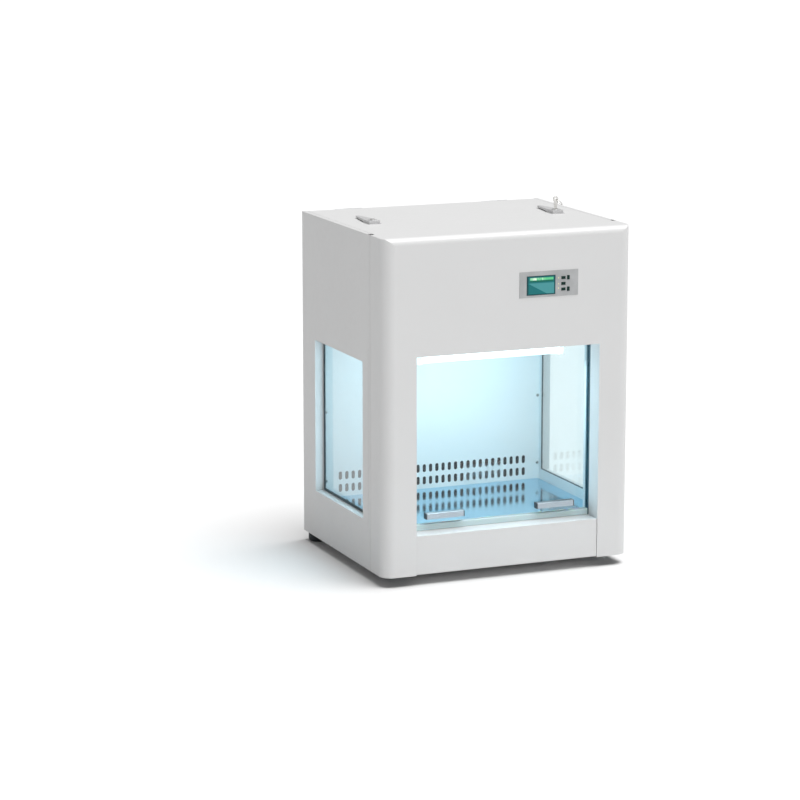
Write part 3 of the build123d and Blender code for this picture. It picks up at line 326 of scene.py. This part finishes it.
def build_materials():
    """One material for each slot of the record."""
    return {
        "powder_coat": coated("powder_coat", tone(*WHITE_COAT), 0.46, COAT_PEEL_MM, 0.12),
        "liner_coat": coated("liner_coat", tone(0.83, 0.87, 0.88), 0.36, 0.03, 0.2),
        # The steel's cyan-blue colour is a painted reflection of the chamber's cyan light.
        "stainless": rolled("stainless", tone(0.35, 0.70, 0.90), 0.10, (1.0, 60.0, 1.0)),
        "grip_metal": rolled("grip_metal", tone(0.40, 0.46, 0.51), 0.26, (0.5, 40.0, 40.0)),
        "grip_cap": moulded("grip_cap", tone(0.05, 0.06, 0.07), 0.45),
        "window_glass": clear("window_glass", tone(0.815, 0.90, 0.915)),
        "clear_seal": seal_strip("clear_seal", tone(0.84, 0.98, 0.98)),
        "black_rubber": moulded("black_rubber", tone(0.016, 0.022, 0.026), 0.62, 0.05),
        "guide_plastic": moulded("guide_plastic", tone(0.018, 0.085, 0.125), 0.36),
        "cast_zinc": cast("cast_zinc", tone(0.66, 0.66, 0.665), 0.34, 0.3),
        "bright_nickel": rolled("bright_nickel", tone(0.72, 0.71, 0.69), 0.16, (6.0, 6.0, 6.0), 0.002),
        "galvanised": galvanised("galvanised", tone(0.60, 0.62, 0.64)),
        "filter_paper": filter_fabric("filter_paper", tone(0.86, 0.86, 0.83)),
        "wheel_plastic": moulded("wheel_plastic", tone(0.03, 0.03, 0.033), 0.5),
        "motor_cast": cast("motor_cast", tone(0.36, 0.37, 0.38), 0.42),
        "led_white": lamp_glass("led_white", tone(0.90, 0.98, 1.0), 1.7, "led_tube"),
        "uv_quartz": clear("uv_quartz", tone(0.95, 0.96, 1.0), 0.06),
        "holder_plastic": moulded("holder_plastic", tone(0.86, 0.88, 0.88), 0.4),
        "panel_grey": moulded("panel_grey", tone(0.372, 0.378, 0.383), 0.5, 0.03),
        "display_teal": display_face("display_teal", "display_lens"),
        "display_dark": moulded("display_dark", tone(0.02, 0.03, 0.03), 0.5),
        "key_dark": moulded("key_dark", tone(0.003, 0.026, 0.020), 0.5, 0.02, Specular_IOR_Level=0.2),
        "led_amber": moulded("led_amber", tone(0.75, 0.70, 0.42), 0.25, 0.0, Coat_Weight=0.5),
        "board_green": moulded("board_green", tone(0.01, 0.12, 0.04), 0.4),
        "inlet_black": moulded("inlet_black", tone(0.018, 0.018, 0.02), 0.42),
    }


def build_variants():
    """Materials of the nodes whose finish differs from their slot's."""
    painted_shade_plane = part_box("rear_panel")[1].y - 0.6 * MM
    gasket = moulded("gasket_rubber", tone(0.05, 0.085, 0.10), 0.5, 0.03)
    # Darker, bluer copy of the liner coat for the side walls: painted shade.
    painted_shade_liner = coated("liner_coat_painted_shade", tone(0.62, 0.70, 0.73), 0.36, 0.03, 0.2)
    return {
        # The rear panel's inner face carries painted shade, seen through the slots.
        "rear_panel": coat_with_painted_shade_inside("powder_coat_rear", tone(*WHITE_COAT), tone(0.002, 0.022, 0.036),
                                    painted_shade_plane),
        "left_window_gasket": gasket,
        "right_window_gasket": gasket,
        "left_liner": painted_shade_liner,
        "right_liner": painted_shade_liner,
        # The lamp holders carry a painted glow.
        "lamp_holders": painted_glow_holder("painted_glow_holder", tone(0.86, 0.95, 0.97), 0.85, 0.0),
        "sash_glass": clear("coated_front_glass", tone(0.90, 0.97, 0.977), reflect=0.2),
    }


def dress_nodes(materials):
    """Gives every CAD node its slot's material, or its variant."""
    variants = build_variants()
    for entry in frame["record"]["subparts"]:
        node = entry["node"]
        for place in frame["nodes"][node].material_slots:
            place.material = variants.get(node, materials[entry["material_slot"]])


# ------------------------------------------------------------------ added pieces
def finish_piece(mesh, name, body, materials, slot_name, smooth_deg=35.0):
    """Turns a bmesh into a piece that rides on a body and takes a slot's finish."""
    data = bpy.data.meshes.new(name)
    bmesh.ops.recalc_face_normals(mesh, faces=mesh.faces)
    mesh.to_mesh(data)
    mesh.free()
    made = bpy.data.objects.new(name, data)
    bpy.context.scene.collection.objects.link(made)
    data.materials.append(materials[slot_name])
    for face in data.polygons:
        face.use_smooth = True
    data.set_sharp_from_angle(angle=math.radians(smooth_deg))
    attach(made, body)
    return made


def lathe(mesh, profile, turns, to_row):
    """Surface of revolution; profile is (radius, height). Returns the last ring of points."""
    rings = []
    for radius, height in profile:
        angles = [2 * math.pi * i / turns for i in range(turns if radius else 1)]
        points = [Vector((radius * math.cos(angle), radius * math.sin(angle), height)) for angle in angles]
        rings.append([mesh.verts.new(to_row @ point) for point in points])
    for lower, upper in zip(rings, rings[1:]):
        for i in range(turns):
            j = (i + 1) % turns
            corners = [lower[i % len(lower)], lower[j % len(lower)]]
            corners += [upper[j % len(upper)], upper[i % len(upper)]]
            mesh.faces.new(list(dict.fromkeys(corners)))
    return rings[-1]


def loop_edges(mesh, points):
    """Edges of a closed loop of points, made where they are missing."""
    pairs = zip(points, points[1:] + points[:1])
    return [mesh.edges.get(pair) or mesh.edges.new(pair) for pair in pairs]


def sweep(mesh, path, radius, sides=10):
    """Round wire along a path of points, closed at both ends."""
    rings = []
    across = None
    for i, point in enumerate(path):
        along = (path[min(i + 1, len(path) - 1)] - path[max(i - 1, 0)]).normalized()
        across = across or along.orthogonal()
        across = (across - along * across.dot(along)).normalized()
        other = along.cross(across)
        angles = [2 * math.pi * k / sides for k in range(sides)]
        rings.append([mesh.verts.new(point + radius * (math.cos(angle) * across + math.sin(angle) * other))
                      for angle in angles])
    for lower, upper in zip(rings, rings[1:]):
        for k in range(sides):
            n = (k + 1) % sides
            mesh.faces.new((lower[k], lower[n], upper[n], upper[k]))
    mesh.faces.new(rings[0])
    mesh.faces.new(rings[-1])


def islands(node):
    """Lowest and highest corner of each separate solid of a node."""
    work = bmesh.new()
    work.from_mesh(frame["nodes"][node].data)
    bmesh.ops.remove_doubles(work, verts=work.verts, dist=JOIN)
    found = []
    unseen = set(work.verts)
    while unseen:
        group = {unseen.pop()}
        edge = list(group)
        while edge:
            near = {line.other_vert(point) for point in edge for line in point.link_edges} - group
            group |= near
            edge = list(near)
        unseen -= group
        low = Vector([min(point.co[k] for point in group) for k in range(3)])
        high = Vector([max(point.co[k] for point in group) for k in range(3)])
        found.append((low, high))
    work.free()
    return sorted(found, key=lambda box: tuple(box[0]))


def cross_recess_head(mesh, place, out, radius, height, turn):
    """Pan head with a cross recess; its flat underside is at place and it stands out along out.

    The profile and the recess are in shares of the head's radius and height.
    """
    to_row = (Matrix.Translation(place) @ Vector(out).to_track_quat("Z", "Y").to_matrix().to_4x4()
              @ Matrix.Rotation(turn, 4, "Z"))
    profile = [(0, 0), (1, 0), (1, 0.30), (0.95, 0.58), (0.84, 0.80), (0.70, 0.94), (0.62, 1.0)]
    crown = lathe(mesh, [(radius * r, height * h) for r, h in profile], 24, to_row)
    arm, half = 0.50, 0.13
    floor_share, floor_height = 0.62, 0.35
    quarter = [Vector((arm, -half, 0)), Vector((arm, half, 0)), Vector((half, half, 0))]
    outline = [Matrix.Rotation(math.pi / 2 * k, 3, "Z") @ corner for k in range(4) for corner in quarter]
    mouth = [mesh.verts.new(to_row @ (radius * corner + Vector((0, 0, height)))) for corner in outline]
    floor = [mesh.verts.new(to_row @ (floor_share * radius * corner + Vector((0, 0, floor_height * height))))
             for corner in outline]
    bmesh.ops.triangle_fill(mesh, edges=loop_edges(mesh, crown) + loop_edges(mesh, mouth), use_beauty=True)
    for i in range(len(mouth)):
        j = (i + 1) % len(mouth)
        mesh.faces.new((mouth[i], mouth[j], floor[j], floor[i]))
    mesh.faces.new(floor)


def build_screws(materials):
    """Cross-recess heads in place of the plain ones, each turned as it happened to stop."""
    chance = random.Random(41)
    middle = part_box("back_liner")[1].y
    mesh = bmesh.new()
    for low, high in islands("panel_screws"):
        centre = (low + high) / 2
        facing = 1 if centre.y > middle else -1
        start = low.y if facing > 0 else high.y
        cross_recess_head(mesh, (centre.x, start, centre.z), (0, facing, 0), (high.x - low.x) / 2,
                          high.y - low.y, chance.uniform(0, math.pi))
    piece = finish_piece(mesh, "cross_recess_screws", "cabinet", materials, "bright_nickel")
    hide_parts("panel_screws")


def build_key_ring(materials):
    """Split ring of two close turns through the hole in the key's bow."""
    low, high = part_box("lock_key")
    hole_drop = 5.2 * MM            # from the key's top to the middle of its hole
    hole = Vector(((low.x + high.x) / 2, (low.y + high.y) / 2, high.z - hole_drop))
    ring_r = 9.0 * MM
    wire_r = 0.45 * MM
    hang = 1.5 * MM                 # the wire rests this far from the hole's middle
    tilt = math.radians(43)
    away = Vector((math.cos(tilt), 0, -math.sin(tilt)))
    sideways = Vector((0, 1, 0))
    normal = away.cross(sideways)
    centre = hole + away * (ring_r + hang)
    turns = 1.9
    pitch = 2.1 * wire_r
    start = 0.9
    steps = 120
    path = []
    for i in range(steps + 1):
        share = i / steps
        angle = 2 * math.pi * turns * share + start
        lift = (share - 0.5) * turns * pitch
        path.append(centre + ring_r * (math.cos(angle) * away + math.sin(angle) * sideways) + lift * normal)
    mesh = bmesh.new()
    sweep(mesh, path, wire_r, 8)
    finish_piece(mesh, "split_key_ring", "right_plug", materials, "bright_nickel", 60.0)


def rounded_bar(mesh, low, high, radius, steps=4):
    """Bar along Y with rounded long edges and a bevelled outer end."""
    centre = (low + high) / 2
    half_x = (high.x - low.x) / 2
    half_z = (high.z - low.z) / 2
    tip = min(radius, (high.y - low.y) / 4)
    rings = []
    for y, shrink in ((low.y, 0), (high.y - tip, 0), (high.y, tip)):
        ring = []
        for corner in range(4):
            sign_x = 1 if corner in (0, 3) else -1
            sign_z = 1 if corner in (0, 1) else -1
            for k in range(steps + 1):
                angle = math.pi / 2 * (corner + k / steps)
                x = centre.x + sign_x * (half_x - radius) + (radius - shrink * 0.9) * math.cos(angle)
                z = centre.z + sign_z * (half_z - radius) + (radius - shrink * 0.9) * math.sin(angle)
                ring.append(mesh.verts.new((x, y, z)))
        rings.append(ring)
    for lower, upper in zip(rings, rings[1:]):
        for i in range(len(lower)):
            j = (i + 1) % len(lower)
            mesh.faces.new((lower[i], lower[j], upper[j], upper[i]))
    mesh.faces.new(rings[0])
    mesh.faces.new(rings[-1])


def build_inlet_blades(materials):
    """Plated sleeves over the three blades inside the mains inlet."""
    low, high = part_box("power_inlet")
    floor = high.y - 17.0 * MM
    middle = (low.x + high.x) / 2
    height = (low.z + high.z) / 2
    half_x, length, half_z = 1.0, 10.0, 2.0
    sleeve = 0.06 * MM
    mesh = bmesh.new()
    for x, z in ((-7.0, -2.0), (0.0, 2.0), (7.0, -2.0)):
        start = Vector((middle + (x - half_x) * MM - sleeve, floor, height + (z - half_z) * MM - sleeve))
        end = Vector((middle + (x + half_x) * MM + sleeve, floor + length * MM + sleeve,
                      height + (z + half_z) * MM + sleeve))
        rounded_bar(mesh, start, end, 0.3 * MM)
    finish_piece(mesh, "inlet_blade_sleeves", "cabinet", materials, "bright_nickel")


def soften(node, width_mm, angle_deg=35.0):
    """Small radius along a node's sharp edges, as casting and moulding leave."""
    modifiers = frame["nodes"][node].modifiers
    weld = modifiers.new("weld", "WELD")
    weld.merge_threshold = JOIN
    bevel = modifiers.new("soft_edges", "BEVEL")
    bevel.width = width_mm * MM
    bevel.segments = 3
    bevel.limit_method = "ANGLE"
    bevel.angle_limit = math.radians(angle_deg)
    bevel.harden_normals = True


def build_pieces(materials):
    """The added pieces, and the softened edges of small cast and moulded nodes."""
    build_screws(materials)
    build_key_ring(materials)
    build_inlet_blades(materials)
    for node, width_mm in (("left_latch_handle", 1.6), ("right_latch_handle", 1.6), ("latch_bases", 0.3),
                           ("lock_key", 0.3), ("control_plate", 0.25)):
        soften(node, width_mm)


# ------------------------------------------------------------------ studio
def area_light(name, place, target, size, power, colour=(1, 1, 1), shown=False):
    """Rectangular soft light aimed at target."""
    data = bpy.data.lights.new(name, "AREA")
    data.shape = "RECTANGLE"
    data.size, data.size_y = size
    data.energy = power
    data.color = colour
    made = bpy.data.objects.new(name, data)
    bpy.context.scene.collection.objects.link(made)
    made.location = place
    made.rotation_mode = "QUATERNION"
    made.rotation_quaternion = (Vector(target) - Vector(place)).to_track_quat("-Z", "Y")
    made.visible_camera = False
    made.visible_glossy = shown
    return made


def sun_light(name, towards, strength, angle_deg):
    """Even light from far away, softened by its apparent size."""
    data = bpy.data.lights.new(name, "SUN")
    data.energy = strength
    data.angle = math.radians(angle_deg)
    made = bpy.data.objects.new(name, data)
    bpy.context.scene.collection.objects.link(made)
    made.rotation_mode = "QUATERNION"
    made.rotation_quaternion = Vector(towards).to_track_quat("Z", "Y")
    return made


def build_studio():
    """Pale floor, white surroundings and soft lights."""
    mesh = bmesh.new()
    bmesh.ops.create_grid(mesh, x_segments=8, y_segments=8, size=30.0)
    data = bpy.data.meshes.new("floor")
    mesh.to_mesh(data)
    mesh.free()
    floor = bpy.data.objects.new("floor", data)
    bpy.context.scene.collection.objects.link(floor)
    paper = Recipe("studio_floor", Roughness=0.9)
    paper.feed("Base Color", paper.mix(paper.noise(1.5), tone(0.75, 0.75, 0.75), tone(0.77, 0.77, 0.77)))
    data.materials.append(paper.material)
    world = bpy.data.worlds.new("studio")
    bpy.context.scene.world = world
    world.use_nodes = True
    tree = world.node_tree
    backdrop = tree.nodes["Background"]
    backdrop.inputs["Color"].default_value = (1, 1, 1, 1)
    ray = tree.nodes.new("ShaderNodeLightPath")
    strength = tree.nodes.new("ShaderNodeMapRange")
    tree.links.new(ray.outputs["Is Glossy Ray"], strength.inputs["Value"])
    strength.inputs["To Min"].default_value = 0.25
    strength.inputs["To Max"].default_value = 0.34
    tree.links.new(strength.outputs[0], backdrop.inputs["Strength"])
    bpy.context.scene.view_settings.view_transform = "Standard"
    sun_light("overhead_light", (0.24, -0.16, 1.0), 3.95, 50)
    area_light("front_light", (-0.45, -5.0, 1.7), (0, 0, 0.4), (1.6, 1.1), 38, shown=True)


def build_chamber_lights():
    """The lamp's light inside the chamber, and what leaves it through the windows."""
    low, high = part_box("led_tube")
    y = (low.y + high.y) / 2
    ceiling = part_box("diffuser_plate")[0].z - LIGHT_GAP
    area_light("lamp_light", (0, y, low.z - LIGHT_GAP), (0, y + 0.08, 0), (high.x - low.x, 16 * MM), 1.1,
               LAMP_LIGHT)
    area_light("ceiling_glow", (0, 0, ceiling), (0, 0, 0), (0.44, 0.28), 0.85, CYAN_LIGHT)
    window_margin = 12 * MM
    for node, out, power in (("left_window_glass", -1, 0.42), ("right_window_glass", 1, 0.10)):
        low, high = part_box(node)
        face = (low.x if out < 0 else high.x) + out * LIGHT_GAP
        middle = (low + high) / 2
        area_light(node + "_glow", (face, middle.y, middle.z), (2 * face, middle.y, middle.z),
                   (high.y - low.y - window_margin, high.z - low.z - window_margin), power, CYAN_LIGHT)
    low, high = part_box("sash_glass")
    face = low.y - LIGHT_GAP
    middle = (low + high) / 2
    area_light("front_glow", (middle.x, face, middle.z), (middle.x, 2 * face, middle.z),
               (high.x - low.x - 30 * MM, high.z - low.z - 50 * MM), 0.65, CYAN_LIGHT)


def build_camera():
    """Camera at the photographed viewing angle, without shift or depth of field."""
    data = bpy.data.cameras.new("camera")
    data.sensor_width = SENSOR_MM
    data.lens = FOCAL_PIXELS / FRAME_PIXELS * SENSOR_MM
    data.clip_end = 100
    made = bpy.data.objects.new("camera", data)
    bpy.context.scene.collection.objects.link(made)
    made.location = CAMERA_PLACE
    made.rotation_euler = (math.pi / 2 - CAMERA_PITCH, 0, -CAMERA_YAW)
    bpy.context.scene.camera = made


build_camera()
build_studio()
build_chamber_lights()
materials = build_materials()
dress_nodes(materials)
build_pieces(materials)
